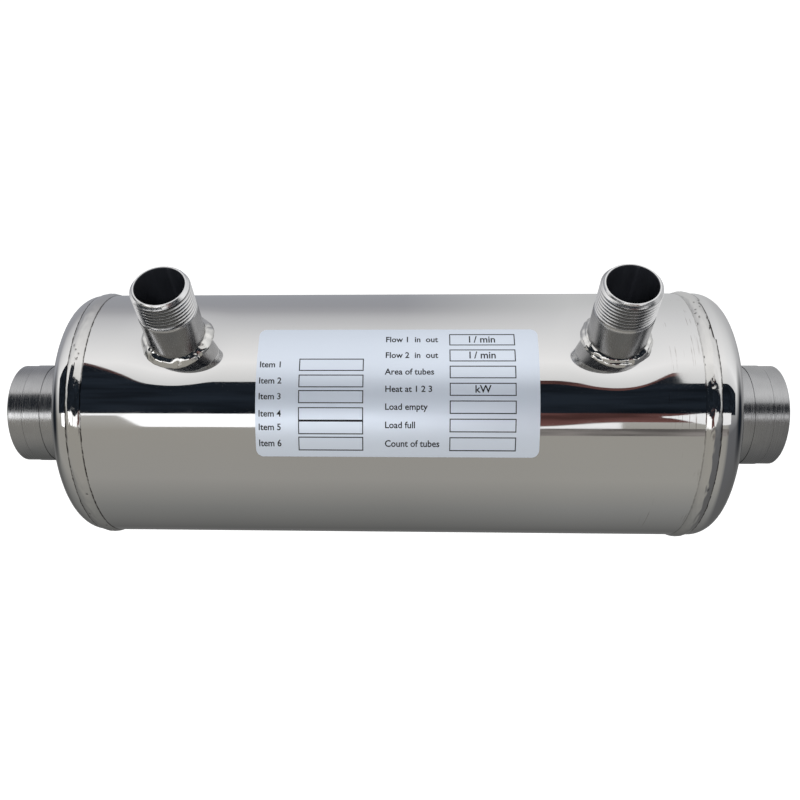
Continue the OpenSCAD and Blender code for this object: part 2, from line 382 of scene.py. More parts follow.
def makeShell():
    bm = bmesh.new()
    zone, hole = shellSet["zone"], shellSet["hole"]
    stops = [shellStart]
    for end in ends:
        stops += [nozzleX[end] - zone, nozzleX[end] + zone]
    stops.append(shellEnd)
    verts, edges = line(bm, [(x, 0, shellRadius) for x in stops])
    bmesh.ops.subdivide_edges(bm, edges=[edges[1], edges[3]], cuts=shellSet["zoneCuts"])
    lathe(bm, shellSet["steps"])
    for x in nozzleX.values():
        gone = [
            f for f in bm.faces
            if f.calc_center_median().z > 0 and any(math.hypot(v.co.x - x, v.co.y) < hole for v in f.verts)
        ]
        bmesh.ops.delete(bm, geom=gone, context="FACES")
        rim = {v for e in bm.edges if e.is_boundary for v in e.verts if abs(v.co.x - x) < zone}
        for v in rim:
            out = Vector((v.co.x - x, v.co.y)).normalized() * hole
            v.co = (x + out.x, out.y, math.sqrt(shellRadius ** 2 - out.y ** 2))
    for v in bm.verts:
        if v.co.z > 0:
            v.co -= Vector((0, v.co.y, v.co.z)).normalized() * drawnIn(v.co.x, v.co.y)
    bmesh.ops.recalc_face_normals(bm, faces=bm.faces[:])
    bmesh.ops.solidify(bm, geom=bm.faces[:], thickness=shellSet["wall"])
    return asPiece("polished_shell", bm, [scratched], "polished_steel", "shell")


# Dished heads: skirt, knuckle and crown; the frame's head gives the skirt's length
headSet = {"knuckle": 13 * mm, "crown": 165 * mm, "wall": 2 * mm, "hole": 31.1 * mm,
           "knuckleSteps": 16, "crownSteps": 12, "steps": 200}


def makeHead(end):
    bm = bmesh.new()
    knuckleRadius = shellRadius - headSet["knuckle"]
    arcDistance = headSet["crown"] - headSet["knuckle"]
    meet = math.degrees(math.asin(knuckleRadius / arcDistance))
    crownBack = math.sqrt(arcDistance ** 2 - knuckleRadius ** 2)
    low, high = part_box(end + "_head")
    skirt = high.x - low.x + crownBack - math.sqrt(headSet["crown"] ** 2 - headSet["hole"] ** 2)
    skirtEnd = sheetFace - skirt
    crownX = skirtEnd + crownBack
    last = meet - math.degrees(math.asin(headSet["hole"] / headSet["crown"]))
    verts, edges = line(bm, [(sheetFace, 0, shellRadius), (skirtEnd, 0, shellRadius)])
    turnedTo = arcOn(bm, verts[1], (skirtEnd, 0, knuckleRadius), meet - 90, headSet["knuckleSteps"])
    arcOn(bm, turnedTo, (crownX, 0, 0), -last, headSet["crownSteps"])
    lathe(bm, headSet["steps"])
    bmesh.ops.solidify(bm, geom=bm.faces[:], thickness=headSet["wall"])
    toEnd(bm, end)
    return asPiece(end + "_dished_head", bm, [polished], "polished_steel", end + "_head")


# Pipe threads: one turn of the ridge is spun and repeated
threadSet = {"pitch": 2.309 * mm, "depth": 1.35 * mm, "rise": 0.1, "crestStart": 0.42, "crestEnd": 0.58,
             "fall": 0.9, "steps": 144}


def threadSleeve(bm, crest, inward, length, fade, chamfer):
    # the ridge runs out at its foot and the chamfer cuts it at its mouth, which is at height 0
    s = threadSet
    pitch = s["pitch"]
    side = -1 if inward else 1
    root = crest - side * s["depth"]
    heights = ((root, 0), (root, s["rise"]), (crest, s["crestStart"]), (crest, s["crestEnd"]),
               (root, s["fall"]), (root, 1))
    line(bm, [(r, 0, pitch * (1 + h)) for r, h in heights])
    bmesh.ops.spin(bm, geom=everything(bm), cent=(0, 0, 0), axis=(0, 0, -1), angle=fullTurn,
                   dvec=(0, 0, -pitch / s["steps"]), steps=s["steps"])
    coil = everything(bm)
    for i in range(1, math.ceil(length / pitch) + 3):
        copied = bmesh.ops.duplicate(bm, geom=coil)["geom"]
        fresh = [g for g in copied if isinstance(g, bmesh.types.BMVert)]
        bmesh.ops.translate(bm, verts=fresh, vec=(0, 0, -pitch * i))
    bmesh.ops.remove_doubles(bm, verts=bm.verts[:], dist=sliver)
    cut(bm, (0, 0, 0), (0, 0, 1), clear=True)
    cut(bm, (0, 0, -chamfer), (0, 0, 1))
    cut(bm, (0, 0, -length), (0, 0, -1), clear=True)
    stainAndShade = bm.verts.layers.float.new("stainAndShade")
    for v in bm.verts:
        radius = math.hypot(v.co.x, v.co.y)
        kept = min(1, (length + v.co.z) / fade)
        wanted = crest + (radius - crest) * kept
        cone = max(0, chamfer + v.co.z)
        # darker towards the thread roots: painted shade
        v[stainAndShade] = min(1, abs(wanted - crest) / s["depth"]) if cone == 0 else 0
        wanted = side * min(side * wanted, side * crest - cone)
        v.co.x *= wanted / radius
        v.co.y *= wanted / radius


def closeSleeve(bm, length, outline):
    # carries the thread's lower ring on along an outline back to the mouth, and fills the flat rim there
    ring = [e for e in bm.edges if e.is_boundary and all(abs(v.co.z + length) < tiny for v in e.verts)]
    for radius, height in outline:
        made = bmesh.ops.extrude_edge_only(bm, edges=ring)["geom"]
        fresh = {g for g in made if isinstance(g, bmesh.types.BMVert)}
        ring = [g for g in made if isinstance(g, bmesh.types.BMEdge) and fresh.issuperset(g.verts)]
        for v in fresh:
            grow = radius / math.hypot(v.co.x, v.co.y)
            v.co = (v.co.x * grow, v.co.y * grow, height)
    openEdges = [e for e in bm.edges if e.is_boundary]
    bmesh.ops.triangle_fill(bm, use_beauty=True, edges=openEdges, normal=(0, 0, 1))
    bmesh.ops.recalc_face_normals(bm, faces=bm.faces[:])


# Nozzles: threaded pipes with a low welding ridge down the bore
nozzleSet = {"pipe": 16.85 * mm, "bore": 13.65 * mm, "crest": 16.62 * mm,
             "thread": {"left": 19 * mm, "right": 20.4 * mm}, "fade": 2.6 * mm, "chamfer": 1.9 * mm,
             "rimChamfer": 0.35 * mm, "step": 0.3 * mm,
             "ridgeStart": 1.4 * mm, "ridgeRise": 0.5 * mm, "ridgeTurn": {"left": 80, "right": 70},
             "ridgeWidth": 5.2, "ridgeTop": 2.4}


def makeNozzle(end):
    bm = bmesh.new()
    s = nozzleSet
    length = s["thread"][end]
    foot = nozzleFoot - nozzleTip
    rim = s["bore"] + s["rimChamfer"]
    threadSleeve(bm, s["crest"], False, length, s["fade"], s["chamfer"])
    closeSleeve(bm, length, [(s["pipe"], -length - s["step"]), (s["pipe"], foot), (s["bore"], foot),
                             (s["bore"], -s["ridgeStart"]), (s["bore"], -s["rimChamfer"]), (rim, 0)])
    # faces inside the bore take the near-black painted shade
    for f in bm.faces:
        c = f.calc_center_median()
        inBore = math.hypot(c.x, c.y) < rim - tiny
        f.material_index = 1 if inBore else 2 if c.z > -length else 0
    ridge = math.radians(s["ridgeTurn"][end])
    for v in bm.verts:
        radius = math.hypot(v.co.x, v.co.y)
        if radius < s["bore"] + tiny and v.co.z < tiny - s["ridgeStart"]:
            off = math.degrees(abs(math.remainder(math.atan2(v.co.y, v.co.x) - ridge, fullTurn)))
            lift = s["ridgeRise"] * clamp((s["ridgeWidth"] - off) / (s["ridgeWidth"] - s["ridgeTop"]))
            v.co.x *= (radius - lift) / radius
            v.co.y *= (radius - lift) / radius
    bmesh.ops.translate(bm, verts=bm.verts[:], vec=(nozzleX[end], 0, nozzleTip))
    return asPiece(end + "_threaded_nozzle", bm, [pipe, bore, thread], "pipe_steel", end + "_nozzle")


# End sockets: a raised turned band between two fine grooves outside, a pipe thread inside
socketSet = {"radius": 31 * mm, "length": 37 * mm, "bore": 22.42 * mm, "thread": 24 * mm, "fade": 3 * mm,
             "chamfer": 0.8 * mm, "edge": 0.5 * mm, "bandStart": 9.5 * mm, "bandEnd": 20.4 * mm,
             "bandRise": 0.3 * mm, "groove": 0.35 * mm}


def makeSocket(end):
    bm = bmesh.new()
    s = socketSet
    threadSleeve(bm, s["bore"], True, s["thread"], s["fade"], s["chamfer"])
    groove = s["groove"]
    deep = s["radius"] - groove
    band = s["radius"] + s["bandRise"]
    bandLow, bandHigh = -s["bandEnd"], -s["bandStart"]
    closeSleeve(bm, s["thread"], [
        (s["bore"], -s["thread"] - groove), (s["bore"], -s["length"]), (s["radius"], -s["length"]),
        (s["radius"], bandLow - groove), (deep, bandLow - groove), (deep, bandLow), (band, bandLow),
        (band, bandHigh), (deep, bandHigh), (deep, groove + bandHigh), (s["radius"], groove + bandHigh),
        (s["radius"], -s["edge"]), (s["radius"] - s["edge"], 0),
    ])
    bmesh.ops.rotate(bm, verts=bm.verts[:], cent=(0, 0, 0), matrix=Matrix.Rotation(-math.pi / 2, 3, "Y"))
    toEnd(bm, end)
    return asPiece(end + "_threaded_socket", bm, [turned], "turned_steel", end + "_socket")


# Beads round the shell ends: a low polished crown with fine toe lines, pits and a ragged undercut; the pits
# and undercut are darkened as painted shade, and the toes are darker along a ragged line
seamSet = {"width": 8.4 * mm, "rise": 1.2 * mm, "toe": 0.45 * mm, "toeRise": 0.04 * mm, "sink": 0.1 * mm,
           "arcSteps": 18, "steps": 540, "skew": 0.2, "wave": 0.2 * mm, "waveCount": 14,
           "toeFrom": 0.9, "toeWander": 0.3 * mm, "toeCount": 30,
           "stainFrom": 0.985, "toeDarkCount": 60, "toeDarkGain": 1.3, "toeDarkBase": 0.35,
           "toeDark": {"left": (0.95, 0.95), "right": (0.9, 0.35)},
           "undercut": {"left": (0, 0), "right": (-27, 2)}, "undercutReach": 0.66, "undercutRagged": 0.45,
           "undercutCount": 18, "undercutDepth": 0.3 * mm, "pitRadius": 0.75 * mm, "pitDepth": 0.5 * mm}
# angle round the seam and place across it
seamPits = {
    "left": [(5, -0.6), (7.5, -0.2), (9.5, 0.3), (12, 0.1), (74, 0.4), (88, -0.5), (101, 0.6), (113, -0.1)],
    "right": [(-23, 0.2), (-19, -0.3), (-16.5, 0.5), (-14, 0.7), (-11, 0.4), (-7, 0.9), (24, 0.2),
              (69, -0.4)],
}


def makeSeamWeld(end):
    bm = bmesh.new()
    s = seamSet
    half = s["width"] / 2
    radius = (half ** 2 + s["rise"] ** 2) / (2 * s["rise"])
    sweep = 2 * math.degrees(math.asin(half / radius))
    low, high = seamMiddle - half, seamMiddle + half
    base, buried = shellRadius + s["toeRise"], shellRadius - s["sink"]
    verts, edges = line(bm, [(low - s["toe"], 0, buried), (low - s["toe"], 0, base), (low, 0, base)])
    top = arcOn(bm, verts[-1], (seamMiddle, 0, base + s["rise"] - radius), sweep, s["arcSteps"])
    rightToe = bm.verts.new((high + s["toe"], 0, base))
    under = bm.verts.new((high + s["toe"], 0, buried))
    for pair in ((top, rightToe), (rightToe, under), (under, verts[0])):
        bm.edges.new(pair)
    lathe(bm, s["steps"])
    cutStart, cutEnd = (math.radians(a) for a in s["undercut"][end])
    stainAndShade = bm.verts.layers.float.new("stainAndShade")
    for v in bm.verts:
        turn = math.atan2(-v.co.y, v.co.z)
        along = (v.co.x - seamMiddle) / half
        around = Vector((math.cos(turn), math.sin(turn), s["skew"] * along))
        flat = Vector((0, v.co.y, v.co.z)).normalized()
        inside = max(0, 1 - along * along)
        v.co += flat * s["wave"] * inside * noise.noise(around * s["waveCount"])
        if abs(along) > s["toeFrom"]:
            v.co.x += s["toeWander"] * noise.noise(around * s["toeCount"] + Vector((0, 0, 5 * along)))
        # darker along the toes, in a ragged line
        dark = s["toeDark"][end][0 if along < 0 else 1]
        ragged = 0.5 + noise.noise(around * s["toeDarkCount"] + Vector((3, 0, 2 * along)))
        toeDarkening = dark * clamp(s["toeDarkGain"] * ragged + s["toeDarkBase"])
        v[stainAndShade] = toeDarkening if abs(along) > s["stainFrom"] else 0
        reach = s["undercutReach"] + s["undercutRagged"] * noise.noise(around * s["undercutCount"])
        # the undercut is pushed in and darkened fully as painted shade
        if cutStart < turn < cutEnd and along < -reach:
            v.co -= flat * s["undercutDepth"]
            v[stainAndShade] = 1
        # each pit is dented and darkened towards its middle as painted shade
        for angle, place in seamPits[end]:
            arc = (turn - math.radians(angle)) * shellRadius
            far = math.hypot(arc, (along - place) * half) / s["pitRadius"]
            if far < 1:
                v.co -= flat * s["pitDepth"] * (1 - far)
                v[stainAndShade] = max(v[stainAndShade], 1 - far * far)
    toEnd(bm, end)
    return asPiece(end + "_seam_bead", bm, [seamBead], "weld_steel", end + "_seam_weld")


# Small polished fillets between head and socket
socketWeldSet = {"sag": 0.35 * mm, "lip": 0.1 * mm, "steps": 200, "toe": 0.3 * mm, "toeDarkening": 0.8,
                 "faceStain": 0.15, "stainScale": (400, 60, 60)}


def makeSocketWeld(end):
    bm = bmesh.new()
    s = socketWeldSet
    low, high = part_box(end + "_socket_weld")
    first = low.x if end == "left" else overallLength - high.x
    last = high.x if end == "left" else overallLength - low.x
    root = socketSet["radius"]
    toe = reachOf(end + "_socket_weld")
    middle = ((first + last) / 2 + s["sag"], (root + toe) / 2 - s["sag"])
    face = [(first, root + s["lip"]), middle, (last, toe)]
    verts, edges = line(bm, [(x, 0, r) for x, r in face] + [(last, 0, root)])
    bm.edges.new((verts[-1], verts[0]))
    bmesh.ops.subdivide_edges(bm, edges=edges[:2], cuts=2)
    lathe(bm, s["steps"])
    stainAndShade = bm.verts.layers.float.new("stainAndShade")
    for v in bm.verts:
        around = v.co * Vector(s["stainScale"])
        strength = s["toeDarkening"] if math.hypot(v.co.y, v.co.z) > toe - s["toe"] else s["faceStain"]
        v[stainAndShade] = max(0, noise.noise(around)) * strength
    toEnd(bm, end)
    return asPiece(end + "_socket_fillet", bm, [seamBead], "weld_steel", end + "_socket_weld")


# Saddle fillets round the nozzles: uneven puddles with creases between them and a ragged toe; the toes are
# darkened as painted shadow and the creases as painted shade
filletSet = {"leg": {"left": 4.1 * mm, "right": 3.6 * mm}, "seed": {"left": 3.1, "right": 11.7},
             "around": 420, "across": 36, "backShare": 0.2, "sink": 0.25 * mm, "overlap": 0.05 * mm,
             "ringScale": 3, "lump": 0.9 * mm, "lumpCount": 0.8, "toe": 0.4 * mm, "toeCount": 2.1,
             "bulge": 0.45 * mm, "crease": 0.6 * mm, "creaseCount": 0.5, "creaseDrift": 0.9,
             "grit": 0.3 * mm, "gritCount": {"left": 1.4, "right": 1.9}, "gritDrift": 1.6, "lean": 0.7,
             "shellToe": 7, "pipeToe": 9, "grooveFrom": 0.5, "grooveFall": 12,
             "toeDarkCount": 1.6, "toeDarkBase": 0.6, "toeDarkGain": 0.9}


def makeNozzleWeld(end):
    bm = bmesh.new()
    s = filletSet
    bmesh.ops.create_grid(bm, x_segments=s["around"], y_segments=s["across"], size=0.5)
    stainAndShade = bm.verts.layers.float.new("stainAndShade")
    root = nozzleSet["pipe"] - s["overlap"]
    for v in bm.verts:
        turn = fullTurn * (v.co.x + 0.5)
        share = v.co.y + 0.5
        place = Vector((s["ringScale"] * math.cos(turn), s["ringScale"] * math.sin(turn), s["seed"][end]))
        leg = s["leg"][end] + s["lump"] * noise.noise(place * s["lumpCount"])
        leg += s["toe"] * noise.noise(place * s["toeCount"])
        if share < s["backShare"]:  # the side that lies on the shell
            out, up = leg * share / s["backShare"], 0
        else:  # the face, from the toe on the shell to the toe on the pipe
            t = (share - s["backShare"]) / (1 - s["backShare"])
            arch = math.sin(math.pi * t)
            crease = abs(noise.noise(place * s["creaseCount"] + Vector((0, 5, s["creaseDrift"] * t))))
            swell = s["bulge"] + s["crease"] * (2 * crease - 0.5)
            fine = place * s["gritCount"][end] + Vector((0, 0, s["gritDrift"] * t))
            swell += s["grit"] * noise.noise(fine)
            out = (1 - t) * leg + s["lean"] * arch * swell
            up = t * leg + s["lean"] * arch * swell
            # painted shadow along both toes and painted shade in the creases
            edge = max(0, 1 - s["shellToe"] * t) + max(0, 1 - s["pipeToe"] * (1 - t))
            groove = max(0, s["grooveFrom"] - s["grooveFall"] * crease) * arch
            ragged = s["toeDarkBase"] + s["toeDarkGain"] * noise.noise(place * s["toeDarkCount"])
            v[stainAndShade] = min(1, edge * max(0, ragged) + groove)
        radius = root + max(0, out)
        x, y = nozzleX[end] + radius * math.cos(turn), radius * math.sin(turn)
        ground = math.sqrt(shellRadius ** 2 - y * y) - s["sink"] - drawnIn(x, y)
        v.co = (x, y, ground + up)
    bmesh.ops.remove_doubles(bm, verts=bm.verts[:], dist=tiny)
    bmesh.ops.bridge_loops(bm, edges=[e for e in bm.edges if e.is_boundary])
    bmesh.ops.recalc_face_normals(bm, faces=bm.faces[:])
    return asPiece(end + "_nozzle_fillet", bm, [nozzleBead], "weld_steel", end + "_nozzle_weld")


# Rating plate: thin foil bent to the shell, printed with a plain form of boxes, counts and units
plateSet = {"turn": 25.3, "arc": 58, "corner": 4 * mm, "cornerSteps": 8, "film": 0.1 * mm,
            "thickness": 0.4 * mm, "strips": 48, "ink": 0.02 * mm, "rule": 0.8 * mm, "boxHeight": 7.4 * mm,
            "caption": 5 * mm, "value": 6 * mm, "heavy": 0.09 * mm}
plateChord = shellRadius * math.sin(math.radians(plateSet["arc"] / 2))
slab = 1 * mm  # height of a flat sheet before it is bent
# rows give the height on the plate in mm
formColumns = {
    "left": {"boxes": (24.2 * mm, 60.8 * mm), "captions": 1.6 * mm,
             "rows": ((14.3, "Item 1"), (4.7, "Item 2"), (-4.3, "Item 3"), (-13.9, "Item 4"),
                      (-21.3, "Item 5"), (-30, "Item 6"))},
    "right": {"boxes": (109 * mm, 146 * mm), "captions": 72.8 * mm,
              "rows": ((30, "Flow 1  in  out"), (20, "Flow 2  in  out"), (10, "Area of tubes"),
                       (0, "Heat at 1 2 3"), (-10, "Load empty"), (-20, "Load full"),
                       (-30, "Count of tubes"))},
}
formValues = ((30, "l / min"), (20, "l / min"), (0, "kW"))


def onPlate(x, chord, height):
    # a point of the flat plate, laid on the shell: chord is measured across the plate, up in the picture
    radius = shellRadius + plateSet["film"] + height
    flat = Vector((x, chord, math.sqrt(radius ** 2 - chord ** 2)))
    return Matrix.Rotation(math.radians(plateSet["turn"]), 3, "X") @ flat


def turnOutward(bm):
    # the flat faces of a slab are turned by their height, then its sides follow them
    bm.normal_update()
    flat = {f for f in bm.faces if abs(f.normal.z) > 0.5}
    wrong = [f for f in flat if f.normal.z * (f.calc_center_median().z - slab / 2) < 0]
    bmesh.ops.reverse_faces(bm, faces=wrong)
    sides = []
    for side in bm.faces:
        if side not in flat:
            pairs = [(a, b) for a in side.loops for b in a.edge.link_loops if b.face in flat]
            if any(a.vert is b.vert for a, b in pairs):
                sides.append(side)
    bmesh.ops.reverse_faces(bm, faces=sides)


def bendOnPlate(bm, height, thickness):
    for i in range(1, plateSet["strips"]):
        cut(bm, (0, plateChord * (2 * i / plateSet["strips"] - 1), 0), (0, 1, 0))
    bmesh.ops.dissolve_degenerate(bm, dist=sliver, edges=bm.edges[:])
    raised = bmesh.ops.extrude_face_region(bm, geom=bm.faces[:])["geom"]
    bmesh.ops.translate(bm, verts=[g for g in raised if isinstance(g, bmesh.types.BMVert)], vec=(0, 0, slab))
    turnOutward(bm)
    for v in bm.verts:
        v.co = onPlate(v.co.x, v.co.y, height + thickness * v.co.z / slab)


def addBox(bm, left, right, low, high):
    corners = ((left, low, 0), (right, low, 0), (right, high, 0), (left, high, 0))
    bm.faces.new([bm.verts.new(p) for p in corners])


def makePlate():
    bm = bmesh.new()
    addBox(bm, plateLow.x, plateHigh.x, -plateChord, plateChord)
    bmesh.ops.bevel(bm, geom=bm.verts[:], offset=plateSet["corner"], offset_type="OFFSET",
                    segments=plateSet["cornerSteps"], profile=0.5, affect="VERTICES", material=-1)
    bendOnPlate(bm, 0, plateSet["thickness"])
    return asPiece("foil_plate", bm, [foil], "plate_foil", "rating_plate")


def addLetters(bm, words, size, x, chord, align):
    curve = bpy.data.curves.new("letters", "FONT")
    curve.body = words
    curve.size = size
    curve.align_x = align
    curve.align_y = "CENTER"
    curve.resolution_u = 3
    curve.offset = plateSet["heavy"]
    holder = bpy.data.objects.new("letters", curve)
    bpy.context.scene.collection.objects.link(holder)
    shaped = holder.evaluated_get(bpy.context.evaluated_depsgraph_get())
    flat = bpy.data.meshes.new_from_object(shaped)
    flat.transform(Matrix.Translation((x, chord, 0)))
    bm.from_mesh(flat)
    bpy.data.objects.remove(holder)
    bpy.data.curves.remove(curve)
    bpy.data.meshes.remove(flat)


def makePrint():
    bm = bmesh.new()
    s = plateSet
    half = s["boxHeight"] / 2
    for column in formColumns.values():
        first, last = (plateLow.x + x for x in column["boxes"])
        for row, words in column["rows"]:
            addBox(bm, first, last, row * mm - half, row * mm + half)
    boxes = bm.faces[:]
    bm.normal_update()
    bmesh.ops.inset_individual(bm, faces=boxes, thickness=s["rule"])
    bmesh.ops.delete(bm, geom=boxes, context="FACES")
    for column in formColumns.values():
        for row, words in column["rows"]:
            addLetters(bm, words, s["caption"], plateLow.x + column["captions"], row * mm, "LEFT")
    middle = plateLow.x + sum(formColumns["right"]["boxes"]) / 2
    for row, words in formValues:
        addLetters(bm, words, s["value"], middle, row * mm, "CENTER")
    bendOnPlate(bm, s["thickness"], s["ink"])
    return asPiece("plate_print", bm, [ink], "plate_foil")


makeShell()
for end in ends:
    makeHead(end)
    makeSocket(end)
    makeNozzle(end)
    makeSeamWeld(end)
    makeSocketWeld(end)
    makeNozzleWeld(end)
    print(end, "end made")
makePlate()
makePrint()
print("plate made and printed")

# Inner pieces keep their CAD shape
for name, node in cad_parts.items():
    if name.startswith(("tube_row", "baffle", "left_tube_sheet", "right_tube_sheet")):
        node.data.materials.clear()
        node.data.materials.append(tubeSteel if name.startswith("tube_row") else sheetSteel)
print("inner pieces painted")

# Camera of the photograph: tilt is how far it looks down, then small turns about its own axes
cameraSet = {"tilt": 54.7, "yaw": 2.687, "pitch": -2.257, "roll": -0.178,
             "place": (0.2547, -0.3160, 0.4406), "lens": 37.53, "sensor": 36, "shift": (0.0316, 0.0647),
             "clip": (0.01, 100)}
tilt = math.radians(cameraSet["tilt"])
towardCamera = Vector((0, -math.cos(tilt), math.sin(tilt)))
upInPicture = Vector((0, math.sin(tilt), math.cos(tilt)))


def makeCamera():
    data = bpy.data.cameras.new("photo camera")
    data.lens = cameraSet["lens"]
    data.sensor_width = cameraSet["sensor"]
    data.shift_x, data.shift_y = cameraSet["shift"]
    data.clip_start, data.clip_end = cameraSet["clip"]
    camera = bpy.data.objects.new("photo camera", data)
    turn = Matrix.Rotation(-tilt, 4, "X")
    for angle, axis in (("yaw", "Z"), ("pitch", "X"), ("roll", "Y")):
        turn = turn @ Matrix.Rotation(math.radians(cameraSet[angle]), 4, axis)
    turn = turn @ Matrix.Rotation(math.pi / 2, 4, "X")
    camera.matrix_world = Matrix.Translation(cameraSet["place"]) @ turn
    bpy.context.scene.collection.objects.link(camera)
    bpy.context.scene.camera = camera


# Reflection tent that only the metal sees; angle 0 is toward the camera, positive is up in the picture
tentSet = {
    "radius": 0.65, "low": -0.95, "high": 1.43, "steps": 96,
    "rightFrom": (0.24, 0.46), "farFrom": (0.64, 0.8), "endShade": (0.15, 0.48),
    "left": [
        (-180, (0.2, 0.2, 0.2)), (-140, (0.125, 0.125, 0.122)), (-95, (0.24, 0.24, 0.23)),
        (-60, (0.37, 0.36, 0.335)), (-15, (0.38, 0.365, 0.33)), (28, (0.8, 0.8, 0.79)),
        (45, (1.05, 1.04, 1.03)), (75, (0.8, 0.8, 0.805)), (95, (0.61, 0.61, 0.625)),
        (106, (0.45, 0.45, 0.47)), (116, (0.39, 0.395, 0.42)), (150, (0.36, 0.37, 0.4)),
        (180, (0.2, 0.2, 0.2)),
    ],
    "right": [
        (-180, (0.2, 0.2, 0.2)), (-140, (0.13, 0.13, 0.127)), (-95, (0.27, 0.27, 0.26)),
        (-60, (0.385, 0.375, 0.345)), (-15, (0.385, 0.37, 0.335)), (28, (0.82, 0.82, 0.81)),
        (45, (1.06, 1.05, 1.04)), (75, (0.88, 0.88, 0.88)), (95, (0.78, 0.78, 0.785)),
        (115, (0.69, 0.695, 0.695)), (150, (0.58, 0.585, 0.59)), (180, (0.2, 0.2, 0.2)),
    ],
    "far": [
        (-180, (0.2, 0.2, 0.2)), (-140, (0.12, 0.12, 0.12)), (-100, (0.13, 0.13, 0.132)),
        (-18, (0.15, 0.152, 0.16)), (28, (0.8, 0.8, 0.8)), (45, (1.02, 1.02, 1.02)),
        (75, (0.86, 0.86, 0.86)), (115, (0.62, 0.625, 0.63)), (150, (0.5, 0.5, 0.51)),
        (180, (0.2, 0.2, 0.2)),
    ],
}
white, rust, navy, taupe = (1, 1, 1), (0.12, 0.055, 0.05), (0.011, 0.015, 0.021), (0.2, 0.185, 0.175)


def glow(name, colour, strength):
    material = bpy.data.materials.new(name)
    material.use_nodes = True
    nodes, links = material.node_tree.nodes, material.node_tree.links
    nodes.clear()
    emission = nodes.new("ShaderNodeEmission")
    emission.inputs["Color"].default_value = (*colour, 1)
    emission.inputs["Strength"].default_value = strength
    output = nodes.new("ShaderNodeOutputMaterial")
    links.new(emission.outputs["Emission"], output.inputs["Surface"])
    return material, nodes, links, emission


def colourWheel(nodes, links, angle, stops):
    ramp = nodes.new("ShaderNodeValToRGB")
    links.new(angle, ramp.inputs["Fac"])
    for degrees, colour in stops[1:-1]:
        ramp.color_ramp.elements.new(0.5 + degrees / 360)
    ordered = sorted(ramp.color_ramp.elements, key=lambda e: e.position)
    for element, (degrees, colour) in zip(ordered, stops):
        element.position = 0.5 + degrees / 360
        element.color = (*colour, 1)
    return ramp.outputs["Color"]


def tentCloth():
    # colour runs round the tent and changes along it
    material, nodes, links, emission = glow("tent cloth", white, 1)
    place = nodes.new("ShaderNodeTexCoord")
    join = nodes.new("ShaderNodeCombineXYZ")
    for direction, socket in ((towardCamera, "X"), (upInPicture, "Y")):
        dot = nodes.new("ShaderNodeVectorMath")
        dot.operation = "DOT_PRODUCT"
        dot.inputs[1].default_value = direction
        links.new(place.outputs["Object"], dot.inputs[0])
        links.new(dot.outputs["Value"], join.inputs[socket])
    sweep = nodes.new("ShaderNodeTexGradient")
    sweep.gradient_type = "RADIAL"
    links.new(join.outputs["Vector"], sweep.inputs["Vector"])
    angle = sweep.outputs["Color"]
    split = nodes.new("ShaderNodeSeparateXYZ")
    links.new(place.outputs["Object"], split.inputs["Vector"])
    colour = colourWheel(nodes, links, angle, tentSet["left"])
    for side in ("right", "far"):
        share = spread(nodes, links, split.outputs["X"], *tentSet[side + "From"], 0, 1)
        colour = mixColour(nodes, links, share, colour, colourWheel(nodes, links, angle, tentSet[side]))
    # the middle of each end is in shade
    reach = nodes.new("ShaderNodeVectorMath")
    reach.operation = "LENGTH"
    links.new(join.outputs["Vector"], reach.inputs[0])
    lit = spread(nodes, links, reach.outputs["Value"], *tentSet["endShade"], 0, 1)
    links.new(mixColour(nodes, links, lit, navy, colour), emission.inputs["Color"])
    return material


# Cards in the tent cover a range of angles; an edge steps by an amount between two places along X
flagTop = ((18, -0.06, -0.17), (-4, 0.42, 0.48), (11, 0.495, 0.568), (-8, 0.569, 0.576))
brownEdge = ((3.5, 0.4, 0.5),)
cards = {
    "dark_flag": {"radius": 0.62, "low": -0.6, "high": 27, "ends": (-0.95, 1.43), "colour": navy,
                  "strength": 1, "highSteps": flagTop},
    "left_rust_line": {"radius": 0.615, "low": 25.8, "high": 27.8, "ends": (-0.24, -0.062), "colour": rust,
                       "strength": 0.6, "lowSteps": flagTop, "highSteps": (*flagTop, (-1.9, -0.12, -0.062))},
    "right_rust_line": {"radius": 0.615, "low": 25.4, "high": 28.4, "ends": (0.4, 0.568), "colour": rust,
                        "strength": 1, "lowSteps": flagTop, "highSteps": flagTop},
    "white_strip": {"radius": 0.62, "low": -12, "high": -0.6, "ends": (-0.125, 0.3), "colour": white,
                    "strength": 1.5, "lowSteps": ((10, -0.075, -0.115),)},
    "white_line": {"radius": 0.618, "low": -2.4, "high": -0.6, "ends": (-0.2, -0.1), "colour": white,
                   "strength": 1.3},
    "left_white": {"radius": 0.618, "low": -13, "high": -0.6, "ends": (-0.5, -0.2), "colour": white,
                   "strength": 2.3},
    "brown_strip": {"radius": 0.61, "low": -10.4, "high": 0.5, "ends": (0.3, 0.72), "colour": rust,
                    "strength": 1, "lowSteps": brownEdge},
    "under_line": {"radius": 0.61, "low": -12.4, "high": -10.8, "ends": (0.33, 0.5), "colour": white,
                   "strength": 1.1, "highSteps": brownEdge},
    "white_patch": {"radius": 0.6, "low": -9, "high": 1.2, "ends": (0.545, 0.85), "colour": white,
                    "strength": 1.1, "lowSteps": ((6, 0.605, 0.545),), "highSteps": ((-3, 0.605, 0.545),)},
    "under_shade": {"radius": 0.61, "low": -18.5, "high": -12.4, "ends": (0.33, 0.75), "colour": taupe,
                    "strength": 1},
}
paperSet = {"streaks": 3, "stretch": (2.2, 5, 5), "range": (0.35, 0.65),
            "dark": (0.6, 1.6), "pale": (0.94, 1), "paleFrom": 0.5, "cuts": 400, "steps": 10}


